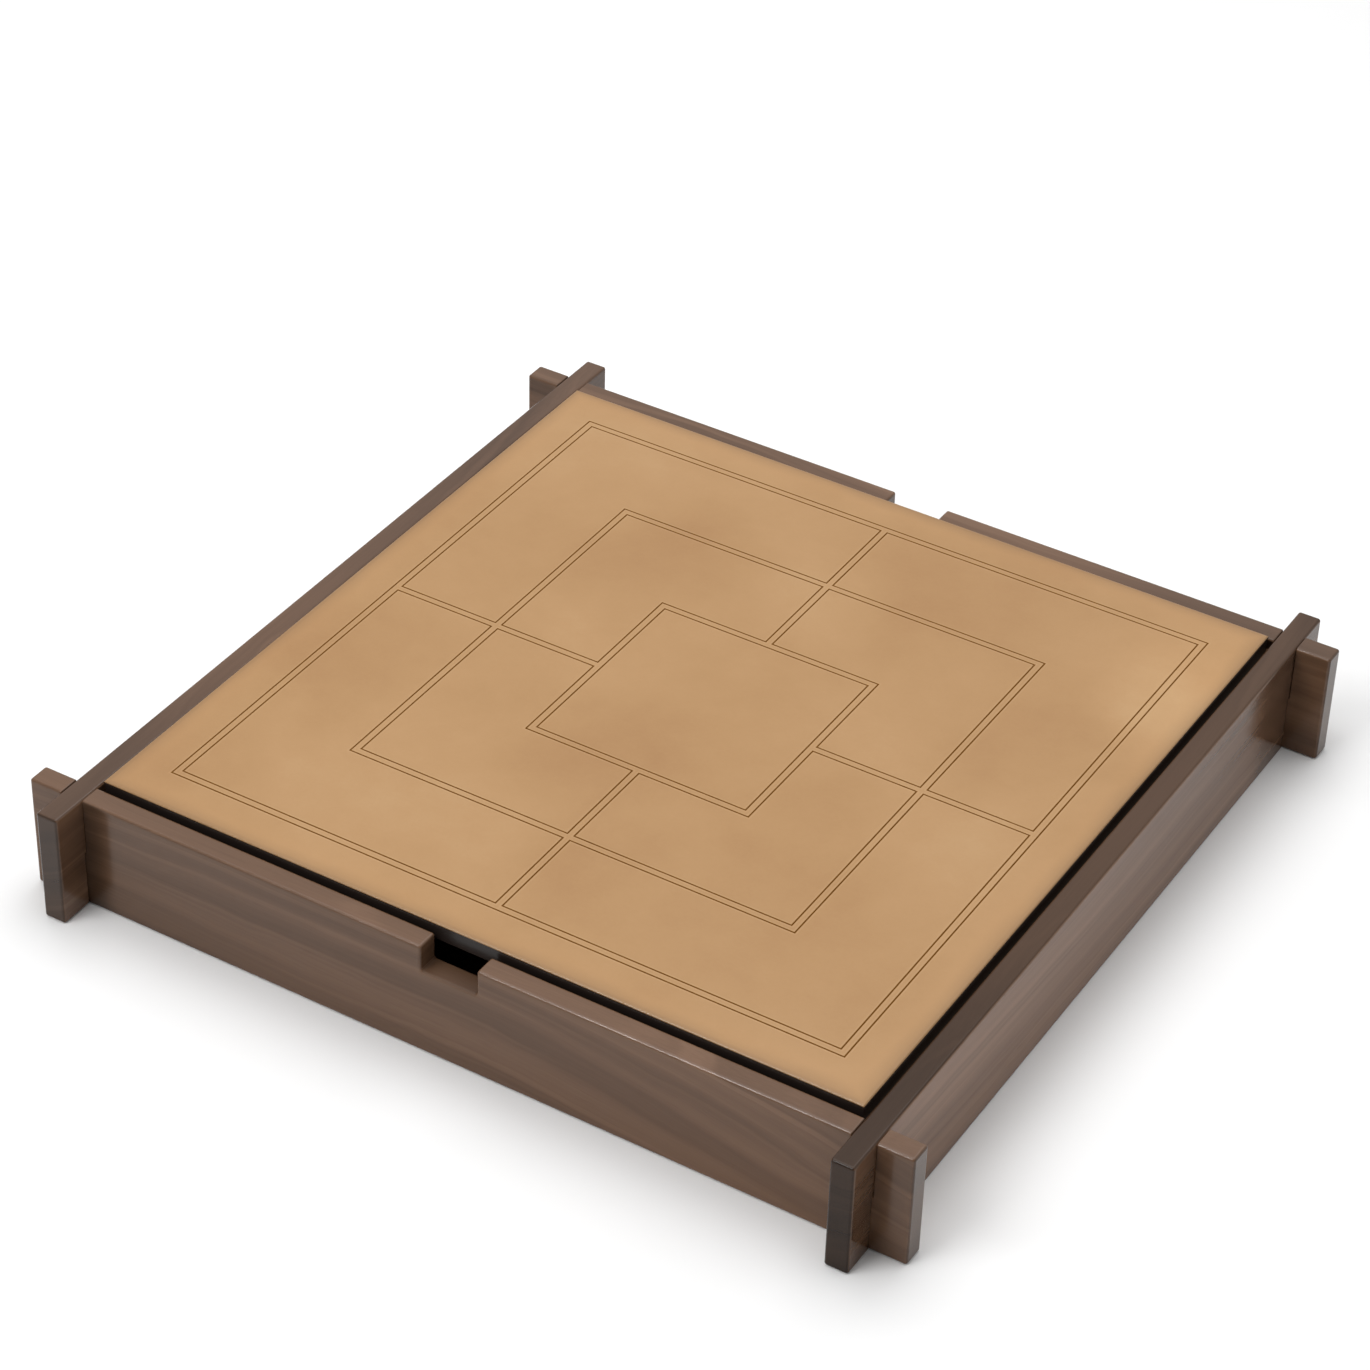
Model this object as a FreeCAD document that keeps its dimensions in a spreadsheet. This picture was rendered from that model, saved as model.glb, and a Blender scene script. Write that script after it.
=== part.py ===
import FreeCAD, Part
import os
import Sketcher

# A walnut game box. Four boards cross at the corners in cross-halving joints and
# stick out past each other. A leather-faced lid drops inside on ledges and carries
# the mill board: three squares joined at the middle of each side. Under the lid,
# two racks hold nine light and nine dark men.
#
# Axes: X along the front board, Y from front to back, Z up. The origin is the
# middle of the underside. Millimetres.

doc = FreeCAD.newDocument("GameBox")
sheet = doc.addObject("Spreadsheet::Sheet", "Dims")

VALUES = [
    # the four boards
    ("half_outer", 217.0, "centre of the box to the outer face of a board"),
    ("stub_out", 18.5, "board end past the board it crosses"),
    ("board_thick", 12.0, "board thickness"),
    ("board_tall", 61.5, "board height"),
    ("board_round", 1.4, "radius of the eased board edges"),
    ("joint_gap", 0.05, "play at each side of a halving slot"),
    ("slot_round", 0.7, "radius of the eased rim of a halving slot"),
    ("finger_wide", 30.0, "width of a finger notch"),
    ("finger_deep", 14.0, "depth of a finger notch"),
    # the base
    ("rebate_wide", 6.0, "rebate for the base, into the board"),
    ("rebate_tall", 6.0, "rebate for the base, up from the underside"),
    ("base_thick", 5.0, "base panel thickness"),
    ("base_gap", 0.25, "play round the base panel"),
    ("lining_thick", 1.0, "suede thickness"),
    ("lining_gap", 0.4, "play round the floor lining"),
    # the ledges under the lid
    ("ledge_wide", 12.0, "ledge width"),
    ("ledge_tall", 10.0, "ledge height"),
    ("ledge_stop", 46.0, "middle of the front or back board to the nearest ledge end"),
    ("ledge_round", 0.8, "radius of the eased ledge edges"),
    ("fit_gap", 0.1, "play between glued inner pieces"),
    # the lid
    ("lid_half", 202.8, "half of the lid's side"),
    ("lid_proud", 3.5, "lid top above the board tops"),
    ("leather_thick", 1.5, "leather thickness"),
    ("core_thick", 7.0, "lid core thickness"),
    ("lipping_wide", 6.0, "width of the lipping round the core"),
    ("leather_round", 0.5, "radius of the leather's top edge"),
    # the tooled board
    ("line_wide", 0.9, "width of a tooled line"),
    ("line_deep", 0.4, "depth of a tooled line"),
    ("band_wide", 3.7, "distance between the two lines of a pair"),
    ("square_outer", 180.4, "half side of the outer square, outer line"),
    ("square_middle", 121.0, "half side of the middle square, outer line"),
    ("square_inner", 61.4, "half side of the inner square, outer line"),
    # the racks and the men
    ("rack_wide", 64.0, "rack width"),
    ("rack_tall", 12.5, "rack height"),
    ("rack_round", 1.5, "radius of the rack's inner top edge"),
    ("pocket_row", 165.0, "middle of the box to a row of pockets"),
    ("pocket_pitch", 42.0, "distance between neighbouring pockets"),
    ("pocket_radius", 15.5, "pocket radius"),
    ("pocket_deep", 5.0, "pocket depth"),
    ("man_radius", 15.0, "radius of a man"),
    ("man_tall", 9.0, "height of a man"),
    ("man_round", 1.3, "radius of a man's edges"),
    ("dish_radius", 10.8, "radius of the dish in a man's top"),
    ("dish_deep", 0.9, "depth of the dish"),
    ("dish_slope", 1.0, "width of the dish's sloping side"),
    ("ring_radius", 6.2, "radius of the turned ring in the dish"),
    ("ring_tall", 0.6, "height of the turned ring"),
    ("ring_wide", 1.2, "width of the turned ring"),
]
for row, (alias, number, note) in enumerate(VALUES, start=1):
    sheet.set("A%d" % row, note)
    sheet.set("B%d" % row, str(number))
    sheet.setAlias("B%d" % row, alias)
doc.recompute()


class Dim:
    """A number together with the spreadsheet expression that gives it."""

    def __init__(self, number, text):
        self.number = float(number)
        self.text = text

    def _with(self, other, sign):
        if not isinstance(other, Dim):
            other = Dim(other, repr(float(other)))
        a, b = self.number, other.number
        result = {"+": a + b, "-": a - b, "*": a * b}[sign]
        return Dim(result, "(%s %s %s)" % (self.text, sign, other.text))

    def __add__(self, other):
        return self._with(other, "+")

    def __sub__(self, other):
        return self._with(other, "-")

    def __mul__(self, other):
        return self._with(other, "*")

    def __neg__(self):
        return Dim(-self.number, "(0 - %s)" % self.text)


class Sizes:
    pass


d = Sizes()
for alias, number, note in VALUES:
    setattr(d, alias, Dim(number, "Dims." + alias))
ZERO = Dim(0, "0")

# Heights and reaches that several pieces share.
inside = d.half_outer - d.board_thick
lid_top = d.board_tall + d.lid_proud
leather_low = lid_top - d.leather_thick
core_low = leather_low - d.core_thick
lid_low = core_low - d.lining_thick
core_half = d.lid_half - d.lipping_wide
base_top = d.rebate_tall
base_low = d.rebate_tall - d.base_thick
rack_top = base_top + d.rack_tall
pocket_floor = rack_top - d.pocket_deep

pieces = []


def bind(thing, name, size):
    thing.setExpression(name, size.text)


def new_body(label, x=None, y=None, z=None, turn=0.0):
    body = doc.addObject("PartDesign::Body", label)
    body.Label = label
    body.Placement = FreeCAD.Placement(
        FreeCAD.Vector(0, 0, 0), FreeCAD.Rotation(FreeCAD.Vector(0, 0, 1), turn))
    for axis, size in (("x", x), ("y", y), ("z", z)):
        if size is not None:
            bind(body, "Placement.Base." + axis, size)
    pieces.append(body)
    return body


def new_sketch(body, name, role, raised=None):
    sketch = body.newObject("Sketcher::SketchObject", name)
    plane = [f for f in body.Origin.OriginFeatures if f.Role == role][0]
    sketch.AttachmentSupport = [(plane, "")]
    sketch.MapMode = "FlatFace"
    if raised is not None:
        sketch.AttachmentOffset = FreeCAD.Placement(
            FreeCAD.Vector(0, 0, raised.number), FreeCAD.Rotation())
        bind(sketch, "AttachmentOffset.Base.z", raised)
    return sketch


def place_point(sketch, geo, end, point):
    for axis, size, line in (("DistanceX", point[0], -2), ("DistanceY", point[1], -1)):
        if abs(size.number) < 1e-9:
            sketch.addConstraint(Sketcher.Constraint("PointOnObject", geo, end, line))
        else:
            at = sketch.addConstraint(
                Sketcher.Constraint(axis, -1, 1, geo, end, size.number))
            bind(sketch, "Constraints[%d]" % at, size)


def add_outline(sketch, points):
    first = sketch.GeometryCount
    count = len(points)
    for i in range(count):
        a, b = points[i], points[(i + 1) % count]
        sketch.addGeometry(Part.LineSegment(
            FreeCAD.Vector(a[0].number, a[1].number, 0),
            FreeCAD.Vector(b[0].number, b[1].number, 0)), False)
    for i in range(count):
        sketch.addConstraint(Sketcher.Constraint(
            "Coincident", first + i, 2, first + (i + 1) % count, 1))
    for i in range(count):
        place_point(sketch, first + i, 1, points[i])


def rectangle(x_low, x_high, y_low, y_high):
    return [(x_low, y_low), (x_high, y_low), (x_high, y_high), (x_low, y_high)]


def pad(body, name, sketch, length):
    feature = body.newObject("PartDesign::Pad", name)
    feature.Profile = sketch
    feature.Length = length.number
    bind(feature, "Length", length)
    body.Tip = feature
    doc.recompute()
    return feature


def pocket(body, name, sketch, depth, reverse=False):
    before = body.Shape.Volume
    feature = body.newObject("PartDesign::Pocket", name)
    feature.Profile = sketch
    feature.Length = depth.number
    feature.Reversed = reverse
    bind(feature, "Length", depth)
    body.Tip = feature
    doc.recompute()
    if not body.Shape.Volume < before - 1.0:
        raise RuntimeError("%s cut nothing" % name)
    return feature


def fillet(body, name, radius, wanted):
    base = body.Tip
    picked = []
    for number, edge in enumerate(base.Shape.Edges, start=1):
        ends = [v.Point for v in edge.Vertexes]
        if wanted(edge, ends):
            picked.append("Edge%d" % number)
    if not picked:
        raise RuntimeError("%s found no edge" % name)
    feature = body.newObject("PartDesign::Fillet", name)
    feature.Base = (base, picked)
    feature.Radius = radius.number
    bind(feature, "Radius", radius)
    body.Tip = feature
    doc.recompute()
    return feature


# ---------------------------------------------------------------- the four boards
half_long = d.half_outer + d.stub_out
slot_near = inside - d.joint_gap
slot_far = d.half_outer + d.joint_gap
slot_mid = d.board_tall * 0.5
notch_half = d.finger_wide * 0.5
notch_floor = d.board_tall - d.finger_deep


def board(label, outline, rebate_half, x, y, turn):
    body = new_body(label, x, y, None, turn)
    side = new_sketch(body, label + "_side", "XZ_Plane")
    add_outline(side, outline)
    pad(body, label + "_pad", side, d.board_thick)

    def outer_edge(edge, ends):
        low, high = slot_near.number - 0.01, slot_far.number + 0.01
        return not all(low <= abs(p.x) <= high for p in ends)

    fillet(body, label + "_eased", d.board_round, outer_edge)

    def slot_rim(edge, ends):
        reach = [abs(p.x) for p in ends]
        on_wall = min(abs(reach[0] - slot_near.number), abs(reach[0] - slot_far.number)) < 0.001
        flat = max(reach) - min(reach) < 0.001
        return on_wall and flat and any(abs(p.z - slot_mid.number) > 0.01 for p in ends)

    fillet(body, label + "_slot_rims", d.slot_round, slot_rim)
    cut = new_sketch(body, label + "_rebate_side", "XZ_Plane")
    add_outline(cut, rectangle(-rebate_half, rebate_half, -d.board_round, d.rebate_tall))
    pocket(body, label + "_rebate", cut, d.rebate_wide, True)
    return body


# Front and back: slotted from above at both ends, finger notch in the middle.
long_outline = [
    (-half_long, ZERO), (half_long, ZERO), (half_long, d.board_tall),
    (slot_far, d.board_tall), (slot_far, slot_mid),
    (slot_near, slot_mid), (slot_near, d.board_tall),
    (notch_half, d.board_tall), (notch_half, notch_floor),
    (-notch_half, notch_floor), (-notch_half, d.board_tall),
    (-slot_near, d.board_tall), (-slot_near, slot_mid),
    (-slot_far, slot_mid), (-slot_far, d.board_tall),
    (-half_long, d.board_tall),
]
# Left and right: slotted from below, so their tops run through.
side_outline = [
    (-half_long, ZERO), (-slot_far, ZERO), (-slot_far, slot_mid),
    (-slot_near, slot_mid), (-slot_near, ZERO),
    (slot_near, ZERO), (slot_near, slot_mid),
    (slot_far, slot_mid), (slot_far, ZERO),
    (half_long, ZERO), (half_long, d.board_tall), (-half_long, d.board_tall),
]
board("front_board", long_outline, inside + d.rebate_wide, None, -inside, 0.0)
board("back_board", long_outline, inside + d.rebate_wide, None, inside, 180.0)
board("left_board", side_outline, inside, -inside, None, -90.0)
board("right_board", side_outline, inside, inside, None, 90.0)

# ---------------------------------------------------------------- base and lining


def slab(label, x_low, x_high, y_low, y_high, z_low, height):
    body = new_body(label, None, None, z_low)
    plan = new_sketch(body, label + "_plan", "XY_Plane")
    add_outline(plan, rectangle(x_low, x_high, y_low, y_high))
    pad(body, label + "_pad", plan, height)
    return body


base_half = inside + d.rebate_wide - d.base_gap
slab("base_panel", -base_half, base_half, -base_half, base_half, base_low, d.base_thick)

rack_inner = inside - d.rack_wide
lining_x = rack_inner - d.lining_gap
lining_y = inside - d.lining_gap
slab("base_lining", -lining_x, lining_x, -lining_y, lining_y, base_top, d.lining_thick)

# ---------------------------------------------------------------- ledges for the lid
ledge_low = lid_low - d.ledge_tall


def ledge(label, x_low, x_high, y_low, y_high, along):
    body = slab(label, x_low, x_high, y_low, y_high, ledge_low, d.ledge_tall)

    def inner_edge(edge, ends):
        a, b = ends[0], ends[1]
        if along == "y":
            reach = min(abs(x_low.number), abs(x_high.number))
            return all(abs(abs(p.x) - reach) < 1e-4 for p in ends) and abs(a.y - b.y) > 1.0
        reach = min(abs(y_low.number), abs(y_high.number))
        return all(abs(abs(p.y) - reach) < 1e-4 for p in ends) and abs(a.x - b.x) > 1.0

    fillet(body, label + "_eased", d.ledge_round, inner_edge)
    return body


ledge_out = inside - d.fit_gap
ledge_in = inside - d.ledge_wide
ledge_butt = ledge_in - d.fit_gap
ledge("left_ledge", -ledge_out, -ledge_in, -ledge_out, ledge_out, "y")
ledge("right_ledge", ledge_in, ledge_out, -ledge_out, ledge_out, "y")
ledge("front_ledge_left", -ledge_butt, -d.ledge_stop, -ledge_out, -ledge_in, "x")
ledge("front_ledge_right", d.ledge_stop, ledge_butt, -ledge_out, -ledge_in, "x")
ledge("back_ledge_left", -ledge_butt, -d.ledge_stop, ledge_in, ledge_out, "x")
ledge("back_ledge_right", d.ledge_stop, ledge_butt, ledge_in, ledge_out, "x")

# ---------------------------------------------------------------- the lid
slab("lid_core", -core_half, core_half, -core_half, core_half, core_low, d.core_thick)
slab("lid_underside", -core_half, core_half, -core_half, core_half, lid_low, d.lining_thick)

lipping_tall = leather_low - lid_low


def lipping(label, turn):
    body = new_body(label, None, None, lid_low, turn)
    plan = new_sketch(body, label + "_plan", "XY_Plane")
    add_outline(plan, [(-d.lid_half, -d.lid_half), (d.lid_half, -d.lid_half),
                       (core_half, -core_half), (-core_half, -core_half)])
    pad(body, label + "_pad", plan, lipping_tall)
    return body


lipping("lid_lipping_front", 0.0)
lipping("lid_lipping_right", 90.0)
lipping("lid_lipping_back", 180.0)
lipping("lid_lipping_left", 270.0)

leather = slab("lid_leather", -d.lid_half, d.lid_half, -d.lid_half, d.lid_half,
               leather_low, d.leather_thick)


def leather_rim(edge, ends):
    return all(abs(p.z - d.leather_thick.number) < 1e-4 for p in ends)


fillet(leather, "lid_leather_eased", d.leather_round, leather_rim)

# The tooled lines outline three square bands and the four bands that join them.
line_half = d.line_wide * 0.5
band_half = d.band_wide * 0.5
outer_in = d.square_outer - d.band_wide
middle_in = d.square_middle - d.band_wide
inner_in = d.square_inner - d.band_wide


def square(half):
    return [(-half, -half), (half, -half), (half, half), (-half, half)]


def corner_cell(big, small, right, up):
    cell = [(band_half, big), (big, big), (big, band_half),
            (small, band_half), (small, small), (band_half, small)]
    cell = [(x if right else -x, y if up else -y) for x, y in cell]
    # keep every outline running the same way round
    return cell[::-1] if right == up else cell


outlines = [square(d.square_outer), square(inner_in)]
for right in (False, True):
    for up in (False, True):
        outlines.append(corner_cell(outer_in, d.square_middle, right, up))
        outlines.append(corner_cell(middle_in, d.square_inner, right, up))


def shifted(points, amount):
    """An outline of straight X and Y runs moved outwards by amount."""
    count = len(points)
    moved = []
    for i in range(count):
        before, here, after = points[i - 1], points[i], points[(i + 1) % count]
        x, y = here
        for a, b in ((before, here), (here, after)):
            run_x = b[0].number - a[0].number
            run_y = b[1].number - a[1].number
            if abs(run_x) > abs(run_y):
                y = y - amount if run_x > 0 else y + amount
            else:
                x = x + amount if run_y > 0 else x - amount
        moved.append((x, y))
    return moved


lines = new_sketch(leather, "tooled_lines", "XY_Plane", d.leather_thick)
for outline in outlines:
    add_outline(lines, shifted(outline, line_half))
    add_outline(lines, shifted(outline, -line_half))
pocket(leather, "lid_leather_tooled", lines, d.line_deep)

# ---------------------------------------------------------------- racks for the men
rack_half_long = inside - d.fit_gap
men_of = 9


def rack(label, turn):
    body = new_body(label, None, None, base_top, turn)
    plan = new_sketch(body, label + "_plan", "XY_Plane")
    add_outline(plan, rectangle(rack_inner, inside - d.fit_gap, -rack_half_long, rack_half_long))
    pad(body, label + "_pad", plan, d.rack_tall)

    def front_top(edge, ends):
        return all(abs(p.x - rack_inner.number) < 1e-4
                   and abs(p.z - d.rack_tall.number) < 1e-4 for p in ends)

    fillet(body, label + "_eased", d.rack_round, front_top)
    ring = new_sketch(body, label + "_pocket_ring", "XY_Plane", d.rack_tall)
    start = -(d.pocket_pitch * ((men_of - 1) * 0.5))
    ring.addGeometry(Part.Circle(
        FreeCAD.Vector(d.pocket_row.number, start.number, 0), FreeCAD.Vector(0, 0, 1),
        d.pocket_radius.number), False)
    place_point(ring, 0, 3, (d.pocket_row, start))
    at = ring.addConstraint(Sketcher.Constraint("Radius", 0, d.pocket_radius.number))
    bind(ring, "Constraints[%d]" % at, d.pocket_radius)
    first = pocket(body, label + "_pocket", ring, d.pocket_deep)
    before = body.Shape.Volume
    row = body.newObject("PartDesign::LinearPattern", label + "_row")
    row.Originals = [first]
    row.Direction = (ring, ["V_Axis"])
    row.Length = d.pocket_pitch.number * (men_of - 1)
    row.Occurrences = men_of
    bind(row, "Length", d.pocket_pitch * (men_of - 1))
    body.Tip = row
    doc.recompute()
    if not body.Shape.Volume < before - 1.0:
        raise RuntimeError("%s has one pocket only" % label)
    return body


rack("right_rack", 0.0)
rack("left_rack", 180.0)

# ---------------------------------------------------------------- the men


def man(label, x, y):
    body = new_body(label, x, y, pocket_floor)
    half = new_sketch(body, label + "_half", "XZ_Plane")
    dish_floor = d.man_tall - d.dish_deep
    ring_top = dish_floor + d.ring_tall
    ring_out = d.ring_radius + d.ring_wide
    add_outline(half, [
        (ZERO, ZERO), (d.man_radius, ZERO), (d.man_radius, d.man_tall),
        (d.dish_radius + d.dish_slope, d.man_tall), (d.dish_radius, dish_floor),
        (ring_out, dish_floor), (ring_out - d.ring_wide * 0.25, ring_top),
        (d.ring_radius + d.ring_wide * 0.25, ring_top), (d.ring_radius, dish_floor),
        (ZERO, dish_floor)])
    turned = body.newObject("PartDesign::Revolution", label + "_turned")
    turned.Profile = half
    turned.ReferenceAxis = (half, ["V_Axis"])
    turned.Angle = 360.0
    body.Tip = turned
    doc.recompute()

    def rim(edge, ends):
        return (edge.Curve.TypeId == "Part::GeomCircle"
                and abs(edge.Curve.Radius - d.man_radius.number) < 1e-4)

    fillet(body, label + "_eased", d.man_round, rim)
    return body


for k in range(men_of):
    along = d.pocket_pitch * (k - (men_of - 1) * 0.5)
    man("light_man_%d" % (k + 1), -d.pocket_row, along)
for k in range(men_of):
    along = d.pocket_pitch * (k - (men_of - 1) * 0.5)
    man("dark_man_%d" % (k + 1), d.pocket_row, along)

# ---------------------------------------------------------------- check and write
doc.recompute()
for thing in doc.Objects:
    if any(word in ("Invalid", "Error") for word in thing.State):
        raise RuntimeError("%s is %s" % (thing.Label, thing.State))
os.makedirs("parts", exist_ok=True)
for body in pieces:
    shape = body.Shape
    if shape.isNull() or not shape.isValid() or not shape.Solids:
        raise RuntimeError("%s has no valid solid" % body.Label)
    shape.exportStep("parts/%s.step" % body.Label)
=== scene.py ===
import math

import bmesh
import bpy
from mathutils import Matrix, Vector


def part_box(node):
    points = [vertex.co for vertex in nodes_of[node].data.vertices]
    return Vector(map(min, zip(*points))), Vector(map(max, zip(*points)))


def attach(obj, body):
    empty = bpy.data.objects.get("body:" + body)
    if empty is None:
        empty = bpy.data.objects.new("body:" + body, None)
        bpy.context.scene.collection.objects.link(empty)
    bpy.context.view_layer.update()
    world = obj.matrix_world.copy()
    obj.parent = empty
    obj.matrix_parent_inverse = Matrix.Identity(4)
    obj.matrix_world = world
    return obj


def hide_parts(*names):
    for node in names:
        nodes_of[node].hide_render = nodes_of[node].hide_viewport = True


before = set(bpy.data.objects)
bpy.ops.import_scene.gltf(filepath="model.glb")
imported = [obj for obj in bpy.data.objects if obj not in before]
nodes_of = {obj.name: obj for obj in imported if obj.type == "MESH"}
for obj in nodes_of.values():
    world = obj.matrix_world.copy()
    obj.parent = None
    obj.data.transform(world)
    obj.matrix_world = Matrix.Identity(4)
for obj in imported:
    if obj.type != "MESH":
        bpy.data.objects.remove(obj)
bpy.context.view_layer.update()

scene = bpy.context.scene
MM = 0.001

# ------------------------------------------------------------------ dimensions (metres)
LID = 202.8 * MM            # half side of the lid
LID_TOP = 65.0 * MM
LEATHER_LOW = 63.5 * MM
LID_LOW = 55.5 * MM
LINE_W, LINE_D = 0.9 * MM, 0.28 * MM
BAND = 3.7 * MM
SQ1, SQ2, SQ3 = 180.4 * MM, 121.0 * MM, 61.4 * MM
BOARD_TALL = 61.5 * MM
INSIDE = 205.0 * MM


# ------------------------------------------------------------------ node helpers
class Net:
    """A small helper for wiring a material's nodes."""

    def __init__(self, name):
        self.mat = bpy.data.materials.new(name)
        self.mat.use_nodes = True
        self.tree = self.mat.node_tree
        self.tree.nodes.clear()
        self.out = self.tree.nodes.new("ShaderNodeOutputMaterial")
        self.bsdf = self.tree.nodes.new("ShaderNodeBsdfPrincipled")
        self.tree.links.new(self.bsdf.outputs[0], self.out.inputs["Surface"])
        self.coord = self.tree.nodes.new("ShaderNodeTexCoord")

    def node(self, kind, **props):
        n = self.tree.nodes.new(kind)
        for k, v in props.items():
            setattr(n, k, v)
        return n

    def put(self, socket, value):
        if isinstance(value, bpy.types.NodeSocket):
            self.tree.links.new(value, socket)
        else:
            socket.default_value = value

    def math(self, op, a, b=0.0, clamp=False):
        n = self.node("ShaderNodeMath", operation=op, use_clamp=clamp)
        self.put(n.inputs[0], a)
        self.put(n.inputs[1], b)
        return n.outputs[0]

    def add(self, a, b):
        return self.math("ADD", a, b)

    def sub(self, a, b):
        return self.math("SUBTRACT", a, b)

    def mul(self, a, b):
        return self.math("MULTIPLY", a, b)

    def ramp01(self, value, low, high, a=0.0, b=1.0):
        n = self.node("ShaderNodeMapRange", interpolation_type="SMOOTHSTEP", clamp=True)
        self.put(n.inputs["Value"], value)
        self.put(n.inputs["From Min"], low)
        self.put(n.inputs["From Max"], high)
        self.put(n.inputs["To Min"], a)
        self.put(n.inputs["To Max"], b)
        return n.outputs[0]

    def linear(self, value, low, high, a=0.0, b=1.0):
        n = self.node("ShaderNodeMapRange", clamp=True)
        self.put(n.inputs["Value"], value)
        self.put(n.inputs["From Min"], low)
        self.put(n.inputs["From Max"], high)
        self.put(n.inputs["To Min"], a)
        self.put(n.inputs["To Max"], b)
        return n.outputs[0]

    def xyz(self, vector):
        n = self.node("ShaderNodeSeparateXYZ")
        self.put(n.inputs[0], vector)
        return n.outputs

    def vec(self, x, y, z):
        n = self.node("ShaderNodeCombineXYZ")
        for i, v in enumerate((x, y, z)):
            self.put(n.inputs[i], v)
        return n.outputs[0]

    def mapping(self, vector, loc=(0, 0, 0), rot=(0, 0, 0), scale=(1, 1, 1)):
        n = self.node("ShaderNodeMapping")
        self.put(n.inputs["Vector"], vector)
        n.inputs["Location"].default_value = loc
        n.inputs["Rotation"].default_value = rot
        n.inputs["Scale"].default_value = scale
        return n.outputs[0]

    def noise(self, vector, scale=1.0, detail=2.0, rough=0.5, distortion=0.0, colour=False):
        n = self.node("ShaderNodeTexNoise", noise_dimensions="3D")
        self.put(n.inputs["Vector"], vector)
        n.inputs["Scale"].default_value = scale
        n.inputs["Detail"].default_value = detail
        n.inputs["Roughness"].default_value = rough
        n.inputs["Distortion"].default_value = distortion
        return n.outputs["Color"] if colour else n.outputs["Fac"]

    def colours(self, value, stops, mode="LINEAR"):
        n = self.node("ShaderNodeValToRGB")
        n.color_ramp.interpolation = mode
        e = n.color_ramp.elements
        while len(e) > len(stops):
            e.remove(e[-1])
        while len(e) < len(stops):
            e.new(1.0)
        for i, (pos, col) in enumerate(stops):
            e[i].position = pos
            e[i].color = (*col, 1.0)
        self.put(n.inputs[0], value)
        return n.outputs["Color"]

    def mix(self, fac, a, b, blend="MIX"):
        n = self.node("ShaderNodeMix", data_type="RGBA", blend_type=blend)
        self.put(n.inputs["Factor"], fac)
        cols = [s for s in n.inputs if s.type == "RGBA"]
        for sock, v in zip(cols, (a, b)):
            self.put(sock, v if isinstance(v, bpy.types.NodeSocket) else (*v, 1.0))
        return [s for s in n.outputs if s.type == "RGBA"][0]

    def shade(self, colour, factor):
        """colour times a number."""
        n = self.node("ShaderNodeVectorMath", operation="SCALE")
        self.put(n.inputs[0], colour)
        self.put(n.inputs["Scale"], factor)
        return n.outputs[0]

    def bump(self, height, strength, distance, normal=None):
        n = self.node("ShaderNodeBump")
        n.inputs["Strength"].default_value = strength
        n.inputs["Distance"].default_value = distance
        self.put(n.inputs["Height"], height)
        if normal is not None:
            self.put(n.inputs["Normal"], normal)
        return n.outputs[0]

    def edge_mask(self):
        """1 on the eased edges, where the surface faces no axis squarely."""
        n = self.xyz(self.coord.outputs["Normal"])
        a = [self.math("ABSOLUTE", s) for s in n]
        top = self.math("MAXIMUM", self.math("MAXIMUM", a[0], a[1]), a[2])
        return self.ramp01(top, 0.985, 0.86)

    def finish(self, colour, rough, normal=None, **constants):
        self.put(self.bsdf.inputs["Base Color"], colour)
        self.put(self.bsdf.inputs["Roughness"], rough)
        if normal is not None:
            self.put(self.bsdf.inputs["Normal"], normal)
        for k, v in constants.items():
            self.bsdf.inputs[k].default_value = v
        return self.mat


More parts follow.
